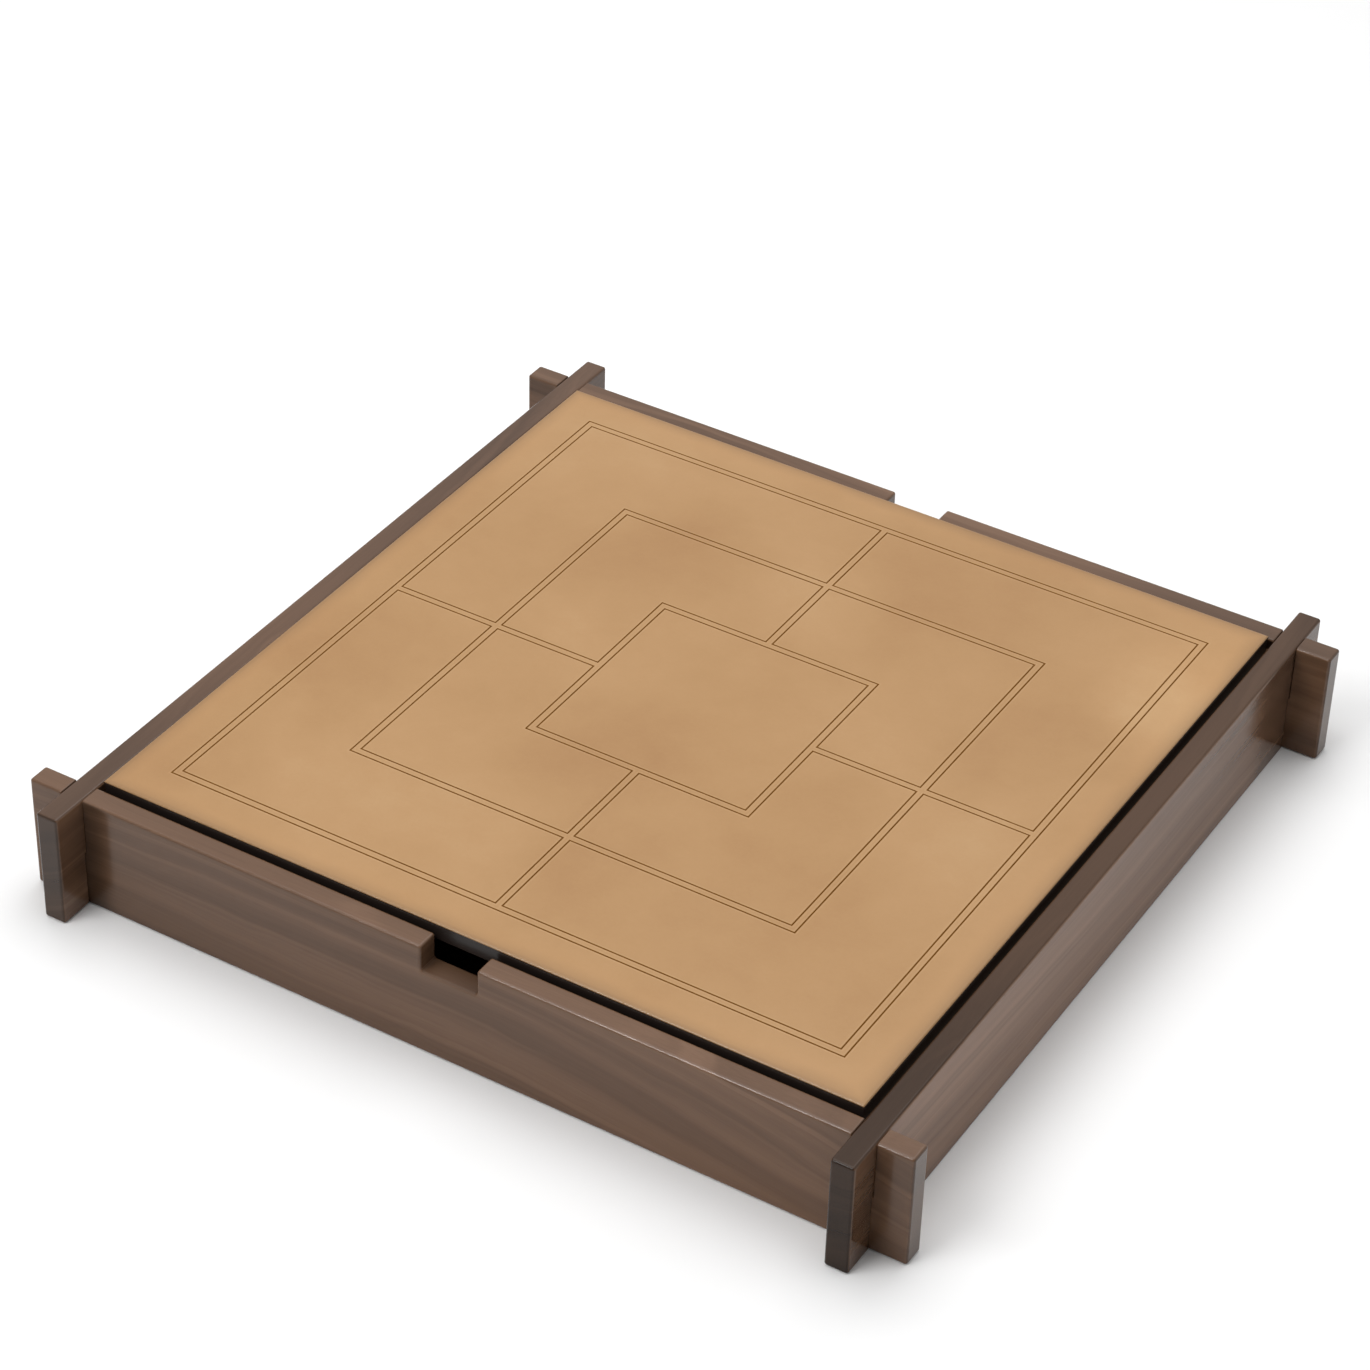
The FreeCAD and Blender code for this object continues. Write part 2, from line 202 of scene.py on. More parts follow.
# ------------------------------------------------------------------ wood
def solid_wood(name, along, shift, stops, pith=(0.05, -0.11), bands=78.0, end_dark=0.2, top_shade=1.0,
               rough=0.235, contrast=0.75, edge_light=1.10, spec=0.34, wave=1.0, bend=None, sweep=None, board=None):
    """Sawn timber under satin lacquer: uneven growth bands round a far pith, long fibres,
    pores, darker end grain and lighter rubbed edges, partly a painted highlight; the tops are painted darker or lighter
    by facing. bend and sweep tilt the bands along the piece; board holds what differs over a wall of the box: painted
    shade and light on its ends past the joints, inner face, tops, outward faces and corners, and its finger cut-out."""
    net = Net(name)
    turn = {"x": (0, 0, 0), "y": (0, 0, -math.pi / 2), "z": (0, math.pi / 2, 0)}[along]
    place = net.xyz(net.coord.outputs["Object"])
    run = place[{"x": 0, "y": 1, "z": 2}[along]]
    p = net.mapping(net.coord.outputs["Object"], loc=shift, rot=turn)
    # the tree's slow wander, and the smaller waves in its fibres
    slow = net.noise(net.mapping(p, scale=(3.0, 12.0, 12.0)), detail=1.5, colour=True)
    fine = net.noise(net.mapping(p, scale=(26.0, 70.0, 70.0)), detail=1.5, colour=True)
    sx, sy, sz = net.xyz(slow)
    fx, fy, fz = net.xyz(fine)
    px, py, pz = net.xyz(p)
    wy = net.add(py, net.add(net.mul(net.sub(sy, 0.5), 0.030 * wave), net.mul(net.sub(fy, 0.5), 0.0030 * wave)))
    wz = net.add(pz, net.add(net.mul(net.sub(sz, 0.5), 0.030 * wave), net.mul(net.sub(fz, 0.5), 0.0030 * wave)))
    if bend is not None:
        wz = net.add(wz, net.ramp01(run, bend[1], bend[2], 0.0, bend[0]))
    if sweep is not None:
        t = net.math("MAXIMUM", net.mul(net.sub(run, sweep[1]), 1.0 / (sweep[2] - sweep[1])), 0.0)
        wz = net.add(wz, net.mul(net.math("POWER", t, 1.5), sweep[0]))
    dy, dz = net.sub(wy, pith[0]), net.sub(wz, pith[1])
    far = net.math("SQRT", net.add(net.mul(dy, dy), net.mul(dz, dz)))
    band = net.noise(net.vec(net.mul(px, 1.1), net.mul(far, bands), 3.1), detail=2.0, rough=0.5)
    streak = net.noise(net.vec(net.mul(px, 1.8), net.mul(far, bands * 3.0), 7.7), detail=1.5, rough=0.5)
    fibre = net.noise(net.mapping(net.vec(px, wy, wz), scale=(7.0, 900.0, 900.0)), detail=3.0, rough=0.6)
    pore = net.noise(net.mapping(net.vec(px, wy, wz), scale=(45.0, 2000.0, 2000.0)), detail=2.0, rough=0.5)
    pores = net.mul(net.ramp01(pore, 0.60, 0.72), net.ramp01(band, 0.35, 0.60, 0.35, 1.0))
    broad = net.noise(net.mapping(p, scale=(1.6, 22.0, 22.0)), detail=2.0, rough=0.55)
    tone = net.add(0.5, net.mul(net.sub(broad, 0.5), 0.90 * contrast))
    tone = net.add(tone, net.mul(net.sub(band, 0.5), 1.15 * contrast))
    tone = net.add(tone, net.mul(net.ramp01(streak, 0.58, 0.70), 0.20 * contrast))
    tone = net.sub(tone, net.mul(net.ramp01(streak, 0.42, 0.32), 0.11 * contrast))
    tone = net.add(tone, net.mul(net.sub(fibre, 0.5), 0.28 * contrast))
    tone = net.sub(tone, net.mul(pores, 0.08 * contrast))
    colour = net.colours(tone, stops)
    # end grain drinks more finish; the tops are painted darker or lighter than the sides, painted shade and light by
    # facing
    nrm = net.xyz(net.coord.outputs["Normal"])
    facing = net.math("ABSOLUTE", nrm[{"x": 0, "y": 1, "z": 2}[along]])
    end = net.ramp01(facing, 0.40, 0.80)
    up = net.ramp01(nrm[2], 0.40, 0.85)
    colour = net.shade(colour, net.linear(end, 0.0, 1.0, 1.0, end_dark))
    if top_shade != 1.0:
        colour = net.shade(colour, net.linear(up, 0.0, 1.0, 1.0, top_shade))
    edge = net.edge_mask()
    # lighter rubbed edges: wear, and partly a painted highlight
    wear_and_highlight = net.mul(edge, net.ramp01(net.noise(net.mapping(p, scale=(45.0, 45.0, 45.0)), detail=2.0), 0.35, 0.65))
    wear_and_highlight = net.mul(wear_and_highlight, net.sub(1.0, net.mul(end, 0.8)))
    colour = net.shade(colour, net.linear(wear_and_highlight, 0.0, 1.0, 1.0, edge_light))
    rough_out = net.add(rough - 0.01, net.add(net.mul(band, 0.02), net.mul(pores, 0.02)))
    if board is None:
        rough_out = net.sub(rough_out, net.mul(edge, 0.06))
    else:
        # the boards are rubbed smoother than the inner pieces
        rough_out = net.sub(rough_out, net.linear(edge, 0.0, 1.0, 0.075, 0.06))
        side = nrm[1 if along == "x" else 0]
        length = net.math("ABSOLUTE", run)
        # painted shade on the ends past the joints, on the hidden inner face, and on the tops towards the front end
        past = net.mul(net.ramp01(length, 0.2160, 0.2175), net.ramp01(net.math("ABSOLUTE", side), 0.5, 0.9))
        colour = net.shade(colour, net.linear(past, 0.0, 1.0, 1.0, board["stub_shade"]))
        # painted shade on the hidden inner face
        inner_face_shade = net.mul(net.ramp01(length, 0.2056, 0.2048), net.ramp01(net.mul(side, board["inward"]), 0.85, 0.99))
        colour = net.shade(colour, net.linear(inner_face_shade, 0.0, 1.0, 1.0, 0.40))
        # painted shade on the tops towards the front end
        if "near_shade" in board:
            near_shade = net.mul(up, net.ramp01(run, -0.06, -0.190))
            colour = net.shade(colour, net.linear(near_shade, 0.0, 1.0, 1.0, board["near_shade"]))
        # painted shade on the tops towards the right-hand end
        if "far" in board:
            far_top_shade = net.mul(up, net.ramp01(run, 0.07, 0.16))
            colour = net.shade(colour, net.linear(far_top_shade, 0.0, 1.0, 1.0, board["far"]))
        # painted light and shade: the outward faces brighten or darken steadily along the board
        if "light_fade" in board:
            level = net.mul(net.ramp01(net.math("ABSOLUTE", side), 0.5, 0.9), net.sub(1.0, past))
            change = net.ramp01(run, -0.19, 0.19, board["light_fade"][0], board["light_fade"][1])
            colour = net.shade(colour, net.add(1.0, net.mul(level, net.sub(change, 1.0))))
        if "corner" in board:
            # painted shade in the corner beside the crossing board
            hand, tint, start, end_at = board["corner"]
            corner_shade = net.mul(net.ramp01(net.mul(run, hand), start, end_at), net.sub(1.0, past))
            corner_shade = net.mul(corner_shade, net.ramp01(net.mul(side, -board["inward"]), 0.5, 0.9))
            colour = net.shade(colour, net.linear(corner_shade, 0.0, 1.0, 1.0, tint))
        if "notch" in board:
            # the finger cut-out: its floor painted darker and warmer as shade under the lid, its cheeks painted
            # lighter, and its finish rougher
            cut = net.mul(net.ramp01(length, 0.0157, 0.0149), net.ramp01(place[2], 0.0600, 0.0560))
            low = net.mul(cut, net.ramp01(place[2], 0.0455, 0.0468))
            shaded_notch_floor = net.mul(low, net.ramp01(nrm[2], 0.3, 0.8))
            colour = net.shade(colour, net.linear(shaded_notch_floor, 0.0, 1.0, 1.0, board["notch"]))
            colour = net.mix(shaded_notch_floor, colour, (1.0, 0.88, 0.68), "MULTIPLY")
            lit_notch_cheek = net.mul(end, net.ramp01(length, 0.0200, 0.0180))
            colour = net.shade(colour, net.linear(lit_notch_cheek, 0.0, 1.0, 1.0, 1.45))
            rough_out = net.add(rough_out, net.mul(net.math("MAXIMUM", net.mul(low, edge), shaded_notch_floor), 0.40))
    height = net.sub(net.mul(fibre, 0.5), net.mul(pores, 0.9))
    normal = net.bump(height, 0.015, 0.00010)
    return net.finish(colour, rough_out, normal, **{"Specular IOR Level": spec})


def tones(r, g, b):
    """A wood's ramp from dark to light round its middle colour."""
    return [(0.05, (r * 0.42, g * 0.38, b * 0.34)), (0.35, (r * 0.80, g * 0.78, b * 0.75)),
            (0.60, (r * 1.14, g * 1.15, b * 1.16)), (0.95, (r * 1.62, g * 1.70, b * 1.80))]


WALNUT = tones(0.118, 0.0635, 0.0362)
# the side boards' walnut: a lighter copy of WALNUT, painted light on their outward faces
WALNUT_SIDE_LIT = tones(0.152, 0.0805, 0.0455)
WALNUT_DEEP = tones(0.092, 0.0500, 0.0285)
PLY = tones(0.185, 0.115, 0.066)
MAPLE = [(0.05, (0.36, 0.210, 0.092)), (0.5, (0.57, 0.385, 0.192)), (0.95, (0.70, 0.520, 0.300))]
WENGE = [(0.05, (0.012, 0.0075, 0.0055)), (0.5, (0.030, 0.0185, 0.0130)), (0.95, (0.060, 0.0380, 0.0260))]
EBON = [(0.05, (0.0085, 0.0060, 0.0050)), (0.5, (0.0155, 0.0108, 0.0090)), (0.95, (0.0270, 0.0190, 0.0155))]


def give(node, mat):
    mesh = nodes_of[node].data
    mesh.materials.clear()
    mesh.materials.append(mat)


give("front_board", solid_wood("walnut_front", "x", (0.31, 0.02, 0.013), WALNUT, pith=(-0.16, -0.13), end_dark=0.6,
                               top_shade=1.08, sweep=(0.018, 0.01, 0.20), contrast=0.85,
                               board={"inward": 1, "stub_shade": 0.98, "notch": 0.54, "far": 0.93, "light_fade": (0.88, 1.18),
                                      "corner": (-1, 0.56, 0.186, 0.200)}))
give("back_board", solid_wood("walnut_back", "x", (1.37, -0.40, 0.05), WALNUT, pith=(-0.27, -0.09), end_dark=0.6,
                              top_shade=0.95, bend=(0.010, -0.2, 0.1), contrast=0.85, spec=0.29,
                              board={"inward": -1, "stub_shade": 1.05, "notch": 0.54, "far": 0.72}))
give("left_board", solid_wood("walnut_left", "y", (2.23, -0.21, 0.02), WALNUT_SIDE_LIT, pith=(-0.07, -0.12), contrast=0.85,
                              end_dark=0.24, top_shade=0.63, sweep=(-0.014, 0.0, 0.22), edge_light=1.04, spec=0.31,
                              board={"inward": 1, "stub_shade": 0.67, "near_shade": 0.62}))
give("right_board", solid_wood("walnut_right", "y", (3.71, 0.20, 0.03), WALNUT_SIDE_LIT, pith=(-0.05, -0.10), contrast=0.85,
                               end_dark=0.20, top_shade=0.41, bend=(0.012, -0.23, 0.04), edge_light=1.0, spec=0.215,
                               board={"inward": -1, "stub_shade": 0.68, "near_shade": 0.66, "light_fade": (1.26, 0.84),
                                      "corner": (1, 0.60, 0.162, 0.184)}))
for i, n in enumerate(("left_ledge", "right_ledge")):
    give(n, solid_wood("walnut_" + n, "y", (4.1 + i, 0.3 * i, 0.1), WALNUT_DEEP, pith=(0.4, -0.3)))
for i, n in enumerate(("front_ledge_left", "front_ledge_right", "back_ledge_left", "back_ledge_right")):
    give(n, solid_wood("walnut_" + n, "x", (5.3 + i, 0.2 * i, 0.2), WALNUT_DEEP, pith=(0.4, -0.3)))
for i, n in enumerate(("left_rack", "right_rack")):
    give(n, solid_wood("walnut_" + n, "y", (6.3 + 2 * i, 0.4 * i, 0.3), WALNUT, pith=(0.1, -0.35)))
give("base_panel", solid_wood("veneer_base", "x", (9.1, 0.3, 0.2), PLY, pith=(0.02, -0.6), rough=0.5))
give("lid_core", solid_wood("veneer_core", "y", (11.1, 0.1, 0.2), PLY, pith=(0.02, -0.6), rough=0.5))


# ------------------------------------------------------------------ leather
DYE_AND_SHADE_BLOTCHES = ((-18, -54, 75, -0.34), (68, 158, 95, -0.24), (-95, 88, 80, -0.26), (126, 52, 70, -0.22),
            (-165, -32, 75, -0.04), (95, -125, 120, -0.14), (-188, -188, 90, -0.26), (12, -128, 55, -0.22),
            (-150, 165, 100, 0.20), (-85, 28, 70, 0.16), (-75, -135, 90, 0.20), (85, 20, 60, 0.14),
            (200, 130, 75, 0.30), (150, -20, 70, 0.14), (0, 100, 60, 0.12),
            # the last two, on the left rim, are painted shade, not dye
            (-202, 70, 80, -0.26), (-202, -70, 80, -0.18))


def leather_material(name, groove):
    """Dyed, waxed leather. The groove's own finish is the same hide, burnt and dull."""
    net = Net(name)
    p = net.coord.outputs["Object"]
    px, py, pz = net.xyz(p)
    warp = net.noise(net.mapping(p, scale=(9.0, 9.0, 0.0)), detail=1.0, colour=True)
    wx, wy, wz = net.xyz(warp)
    q = net.vec(net.add(px, net.mul(net.sub(wx, 0.5), 0.06)), net.add(py, net.mul(net.sub(wy, 0.5), 0.06)), 0.0)
    cloud = net.noise(net.mapping(q, loc=(0.37, 1.91, 0.0), scale=(8.5, 8.5, 1.0)), detail=2.2, rough=0.45)
    patch = net.noise(net.mapping(q, loc=(4.3, 0.7, 0.0), scale=(24.0, 24.0, 1.0)), detail=3.0, rough=0.55)
    speck = net.noise(net.mapping(p, scale=(520.0, 520.0, 520.0)), detail=3.0, rough=0.6)
    fibre = net.noise(net.mapping(p, scale=(130.0, 130.0, 130.0)), detail=3.0, rough=0.6)
    tone = net.add(0.5, net.mul(net.sub(cloud, 0.5), 0.55))
    tone = net.add(tone, net.mul(net.sub(patch, 0.5), 0.50))
    # where the dye took more or less, and painted shade along the left rim (the last two): (x, y, reach in mm,
    # strength)
    qx, qy, qz = net.xyz(q)
    for bx, by, size, strength in DYE_AND_SHADE_BLOTCHES:
        dx, dy = net.sub(qx, bx * MM), net.sub(qy, by * MM)
        span = net.math("SQRT", net.add(net.mul(dx, dx), net.mul(dy, dy)))
        tone = net.add(tone, net.ramp01(span, size * MM, 0.0, 0.0, strength))
    tone = net.add(tone, net.mul(net.sub(fibre, 0.5), 0.16))
    tone = net.add(tone, net.mul(net.sub(speck, 0.5), 0.12))
    colour = net.colours(tone, [(0.10, (0.309, 0.161, 0.0590)), (0.42, (0.348, 0.193, 0.0760)),
                                (0.62, (0.370, 0.209, 0.0865)), (0.92, (0.404, 0.243, 0.110))])
    # a painted reflection, paler at the far right corner
    dx, dy = net.sub(qx, 0.212), net.sub(qy, 0.150)
    painted_reflection = net.ramp01(net.math("SQRT", net.add(net.mul(dx, dx), net.mul(dy, dy))), 0.105, 0.0)
    colour = net.shade(colour, net.add(1.0, net.mul(painted_reflection, 0.12)))
    # burnished towards the edges
    reach = net.math("MAXIMUM", net.math("ABSOLUTE", px), net.math("ABSOLUTE", py))
    reach = net.add(reach, net.mul(net.sub(patch, 0.5), 0.010))
    rim = net.ramp01(reach, LID - 0.020, LID + 0.002)
    colour = net.mix(net.mul(rim, 0.30), colour, (0.400, 0.216, 0.087))
    colour = net.shade(colour, net.ramp01(reach, LID - 0.0095, LID + 0.001, 1.0, 0.80))
    reach_out = net.math("MAXIMUM", net.math("ABSOLUTE", px), net.math("ABSOLUTE", py))
    colour = net.shade(colour, net.ramp01(reach_out, LID - 0.0034, LID - 0.0014, 1.0, 0.91))
    # the tooled lines: burnt brown in the groove, polished paler beside it
    line = net.node("ShaderNodeAttribute", attribute_name="tooled").outputs["Fac"]
    halo = net.node("ShaderNodeAttribute", attribute_name="beside").outputs["Fac"]
    colour = net.mix(net.mul(halo, 0.20), colour, (0.54, 0.345, 0.178))
    depth = net.mul(line, net.linear(fibre, 0.25, 0.75, 0.86, 1.0))
    colour = net.mix(depth, colour, (0.118, 0.0470, 0.0070))
    # the cut edge is dyed dark
    side = net.ramp01(pz, LID_TOP - 0.00055, LID_TOP - 0.00085)
    outer = net.ramp01(reach_out, LID - 0.0010, LID - 0.0006)
    dyed = net.mul(side, outer)
    colour = net.mix(dyed, colour, (0.020, 0.0130, 0.0095))
    rough = net.add(0.34, net.add(net.mul(net.sub(cloud, 0.5), 0.16), net.mul(net.sub(speck, 0.5), 0.08)))
    rough = net.add(rough, net.mul(line, 0.18))
    rough = net.sub(rough, net.mul(net.ramp01(reach_out, LID - 0.0012, LID - 0.0004), 0.07))
    pit = net.node("ShaderNodeTexVoronoi", feature="SMOOTH_F1")
    net.put(pit.inputs["Vector"], p)
    pit.inputs["Scale"].default_value = 1150.0
    height = net.add(net.mul(pit.outputs["Distance"], 0.55), net.add(net.mul(fibre, 0.5), net.mul(speck, 0.3)))
    height = net.mul(height, net.ramp01(reach_out, LID - 0.0004, LID - 0.0016))
    normal = net.bump(height, 0.06, 0.00016)
    if groove:
        return net.finish(colour, net.linear(speck, 0.3, 0.7, 0.80, 0.92), None, **{"Specular IOR Level": 0.04})
    return net.finish(colour, rough, normal, **{"Specular IOR Level": 0.35})


def tooled_runs():
    """The straight runs of every tooled line: (along x?, fixed value, from, to)."""
    h = BAND / 2
    loops = []
    for half in (SQ1, SQ3 - BAND):
        loops.append([(-half, -half), (half, -half), (half, half), (-half, half)])
    for big, small in ((SQ1 - BAND, SQ2), (SQ2 - BAND, SQ3)):
        for sx in (-1, 1):
            for sy in (-1, 1):
                cell = [(h, big), (big, big), (big, h), (small, h), (small, small), (h, small)]
                loops.append([(sx * x, sy * y) for x, y in cell])
    runs = []
    for loop in loops:
        for (ax, ay), (bx, by) in zip(loop, loop[1:] + loop[:1]):
            if abs(ay - by) < 1e-9:
                runs.append((True, ay, min(ax, bx), max(ax, bx)))
            else:
                runs.append((False, ax, min(ay, by), max(ay, by)))
    return runs


def smooth(t):
    t = min(1.0, max(0.0, t))
    return t * t * (3 - 2 * t)


def leather_piece():
    runs = tooled_runs()
    centres = set()
    for along_x, fixed, a, b in runs:
        centres.update((round(fixed, 7), round(a, 7), round(b, 7)))
    marks = set()
    for c in centres:
        for o in (-1.5, -0.85, -0.50, -0.40, -0.22, 0.0, 0.22, 0.40, 0.50, 0.85, 1.5):
            marks.add(round(c + o * MM, 7))
    r = 0.9 * MM
    for e in (0.0, 0.03, 0.10, 0.20, 0.34, 0.52, 0.72, 0.9, 1.6, 3.0, 6.0, 12.0):
        marks.update((round(LID - e * MM, 7), round(-LID + e * MM, 7)))
    marks = sorted(m for m in marks if abs(m) <= LID + 1e-9)
    full = [marks[0]]
    for m in marks[1:]:
        gap = m - full[-1]
        if gap < 0.03 * MM:
            continue
        steps = max(1, math.ceil(gap / (12 * MM)))
        full += [full[-1] + gap * k / steps for k in range(1, steps + 1)]
    full[-1] = LID
    n = len(full)

    def away(x, y):
        best = 1.0
        for along_x, fixed, a, b in runs:
            u, v = (x, y) if along_x else (y, x)
            side = abs(v - fixed)
            if side < best and a - side - 1e-7 <= u <= b + side + 1e-7:
                best = side
        return best

    verts, tooled, beside = [], [], []
    for y in full:
        for x in full:
            d = away(x, y)
            w = LINE_W / 2
            drop = LINE_D * (0.5 + 0.5 * math.cos(math.pi * min(1.0, d / w)))
            e = min(LID - abs(x), LID - abs(y))
            curve = r - math.sqrt(max(0.0, r * r - (r - min(e, r)) ** 2))
            verts.append((x, y, LID_TOP - 0.00002 - drop - curve))
            tooled.append(1.0 - smooth((d - 0.30 * MM) / (0.22 * MM)))
            beside.append((1.0 - smooth((d - 0.6 * MM) / (0.9 * MM))) * smooth((d - 0.3 * MM) / (0.3 * MM)))
    faces = [(j * n + i, j * n + i + 1, (j + 1) * n + i + 1, (j + 1) * n + i)
             for j in range(n - 1) for i in range(n - 1)]
    ring = ([i for i in range(n)] + [j * n + n - 1 for j in range(1, n)]
            + [(n - 1) * n + i for i in range(n - 2, -1, -1)] + [j * n for j in range(n - 2, 0, -1)])
    low = len(verts)
    for k in ring:
        x, y, z = verts[k]
        verts.append((x, y, LEATHER_LOW))
        tooled.append(0.0)
        beside.append(0.0)
    m = len(ring)
    for k in range(m):
        k2 = (k + 1) % m
        faces.append((ring[k2], ring[k], low + k, low + k2))
    faces.append(tuple(low + k for k in range(m - 1, -1, -1)))
    mesh = bpy.data.meshes.new("lid_leather_tooled")
    mesh.from_pydata(verts, [], faces)
    for name, values in (("tooled", tooled), ("beside", beside)):
        mesh.attributes.new(name, "FLOAT", "POINT").data.foreach_set("value", values)
    mesh.polygons.foreach_set("material_index", [
        1 if max(f) < low and sum(tooled[k] for k in f) > 0.2 else 0 for f in faces])
    mesh.polygons.foreach_set("use_smooth", [True] * len(mesh.polygons))
    mesh.set_sharp_from_angle(angle=math.radians(50))
    mesh.update()
    obj = bpy.data.objects.new("leather_playing_surface", mesh)
    scene.collection.objects.link(obj)
    return obj


leather = leather_piece()
leather.data.materials.append(leather_material("tan_leather", False))
leather.data.materials.append(leather_material("tan_leather_tooled", True))
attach(leather, "lid")
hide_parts("lid_leather")


# ------------------------------------------------------------------ suede
def suede_material(name, stops):
    net = Net(name)
    p = net.coord.outputs["Object"]
    stroke = net.noise(net.mapping(p, scale=(26.0, 16.0, 26.0)), detail=3.0, rough=0.55, distortion=0.8)
    nap = net.noise(net.mapping(p, scale=(900.0, 900.0, 900.0)), detail=4.0, rough=0.7)
    tuft = net.noise(net.mapping(p, scale=(240.0, 240.0, 240.0)), detail=3.0, rough=0.6)
    tone = net.add(net.add(0.5, net.mul(net.sub(stroke, 0.5), 0.9)),
                   net.add(net.mul(net.sub(nap, 0.5), 0.7), net.mul(net.sub(tuft, 0.5), 0.4)))
    colour = net.colours(tone, stops)
    rough = net.linear(nap, 0.3, 0.7, 0.82, 0.98)
    normal = net.bump(net.add(net.mul(nap, 0.7), net.mul(tuft, 0.6)), 0.45, 0.0004)
    return net.finish(colour, rough, normal, **{
        "Specular IOR Level": 0.15, "Sheen Weight": 0.35, "Sheen Roughness": 0.45,
        "Sheen Tint": (0.75, 0.60, 0.48, 1.0)})


SUEDE = [(0.15, (0.050, 0.030, 0.019)), (0.5, (0.088, 0.055, 0.036)), (0.85, (0.135, 0.090, 0.060))]


def sheet_piece(name, low, high, up, body, node, mat):
    """A thin sheet of suede with softly rolled edges and a slightly uneven nap face."""
    r = 0.45 * MM
    steps = (0.0, 0.1, 0.25, 0.45, 1.0, 3.0)

    def axis(a, b):
        out = [a + s * MM for s in steps] + [b - s * MM for s in steps]
        k, lo, hi = max(2, int((b - a) / 0.012)), a + 3 * MM, b - 3 * MM
        out += [lo + (hi - lo) * i / k for i in range(1, k)]
        return sorted(set(round(v, 7) for v in out))

    xs, ys = axis(low[0], high[0]), axis(low[1], high[1])
    nap, back = (high[2], low[2]) if up else (low[2], high[2])
    sign = -1.0 if up else 1.0
    n = len(xs)
    verts = []
    for y in ys:
        for x in xs:
            e = min(x - low[0], high[0] - x, y - low[1], high[1] - y)
            curve = r - math.sqrt(max(0.0, r * r - (r - min(max(e, 0), r)) ** 2))
            ripple = 0.05 * MM * (0.5 + 0.5 * math.sin(x * 61.0 + 2.0 * math.sin(y * 23.0)) * math.cos(y * 47.0))
            verts.append((x, y, nap + sign * (curve + ripple * min(1.0, e / (3 * MM)))))
    faces = [(j * n + i, j * n + i + 1, (j + 1) * n + i + 1, (j + 1) * n + i)
             for j in range(len(ys) - 1) for i in range(n - 1)]
    rows = len(ys)
    ring = ([i for i in range(n)] + [j * n + n - 1 for j in range(1, rows)]
            + [(rows - 1) * n + i for i in range(n - 2, -1, -1)] + [j * n for j in range(rows - 2, 0, -1)])
    start = len(verts)
    verts += [(verts[k][0], verts[k][1], back) for k in ring]
    m = len(ring)
    faces += [(ring[(k + 1) % m], ring[k], start + k, start + (k + 1) % m) for k in range(m)]
    faces.append(tuple(start + k for k in range(m - 1, -1, -1)))
    if not up:
        faces = [tuple(reversed(f)) for f in faces]
    mesh = bpy.data.meshes.new(name)
    mesh.from_pydata(verts, [], faces)
    mesh.polygons.foreach_set("use_smooth", [True] * len(mesh.polygons))
    mesh.set_sharp_from_angle(angle=math.radians(55))
    mesh.materials.append(mat)
    obj = bpy.data.objects.new(name, mesh)
    scene.collection.objects.link(obj)
    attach(obj, body)
    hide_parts(node)
    return obj


suede = suede_material("suede_lining", SUEDE)
lo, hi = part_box("base_lining")
sheet_piece("floor_suede", lo, hi, True, "box", "base_lining", suede)
lo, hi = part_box("lid_underside")
sheet_piece("lid_suede", lo, hi, False, "lid", "lid_underside", suede)


# ------------------------------------------------------------------ lipping round the lid
def lipping_piece(name, turn, node, mat):
    """A mitred strip with eased outer edges; its two ends are cut at 45 degrees."""
    a, b = LID, LID - 6.0 * MM
    r = 0.7 * MM
    z0, z1 = LID_LOW, LEATHER_LOW
    # section across the strip: distance out from the lid's middle, and height
    section = [(b, z0)]
    for k in range(0, 6):
        t = math.radians(90 * k / 5)
        section.append((a - r + r * math.sin(t), z0 + r - r * math.cos(t)))
    for k in range(0, 4):
        t = math.radians(90 * k / 3)
        section.append((a - 0.25 * MM + 0.25 * MM * math.cos(t), z1 - 0.25 * MM + 0.25 * MM * math.sin(t)))
    section.append((b, z1))
    along = [-1.0 + 2.0 * k / 24 for k in range(25)]
    verts, faces = [], []
    for s in along:
        for out, z in section:
            # the vertical corner is eased a little, shared by the two strips that meet there
            x = s * out
            corner = max(0.0, abs(x) - (a - 0.9 * MM)) if out > a - 0.9 * MM else 0.0
            y = -out + 0.35 * corner
            verts.append((math.copysign(abs(x) - 0.35 * corner, x), y, z))
    n = len(section)
    for i in range(len(along) - 1):
        for k in range(n):
            k2 = (k + 1) % n
            faces.append((i * n + k, i * n + k2, (i + 1) * n + k2, (i + 1) * n + k))
    faces.append(tuple(range(n - 1, -1, -1)))
    faces.append(tuple((len(along) - 1) * n + k for k in range(n)))
    mesh = bpy.data.meshes.new(name)
    mesh.from_pydata(verts, [], faces)
    mesh.transform(Matrix.Rotation(math.radians(turn), 4, "Z"))
    bm = bmesh.new()
    bm.from_mesh(mesh)
    bmesh.ops.recalc_face_normals(bm, faces=bm.faces)
    bm.to_mesh(mesh)
    bm.free()
    mesh.polygons.foreach_set("use_smooth", [True] * len(mesh.polygons))
    mesh.set_sharp_from_angle(angle=math.radians(40))
    mesh.materials.append(mat)
    obj = bpy.data.objects.new(name, mesh)
    scene.collection.objects.link(obj)
    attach(obj, "lid")
    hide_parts(node)
    return obj


dark_x = solid_wood("stained_lipping_x", "x", (12.0, 0.2, 0.1), EBON, pith=(0.3, -0.2), rough=0.30,
                    edge_light=1.6, end_dark=0.9)
dark_y = solid_wood("stained_lipping_y", "y", (13.0, 0.2, 0.1), EBON, pith=(0.3, -0.2), rough=0.30,
                    edge_light=1.6, end_dark=0.9)
lipping_piece("lipping_strip_front", 0, "lid_lipping_front", dark_x)
lipping_piece("lipping_strip_right", 90, "lid_lipping_right", dark_y)
lipping_piece("lipping_strip_back", 180, "lid_lipping_back", dark_x)
lipping_piece("lipping_strip_left", 270, "lid_lipping_left", dark_y)


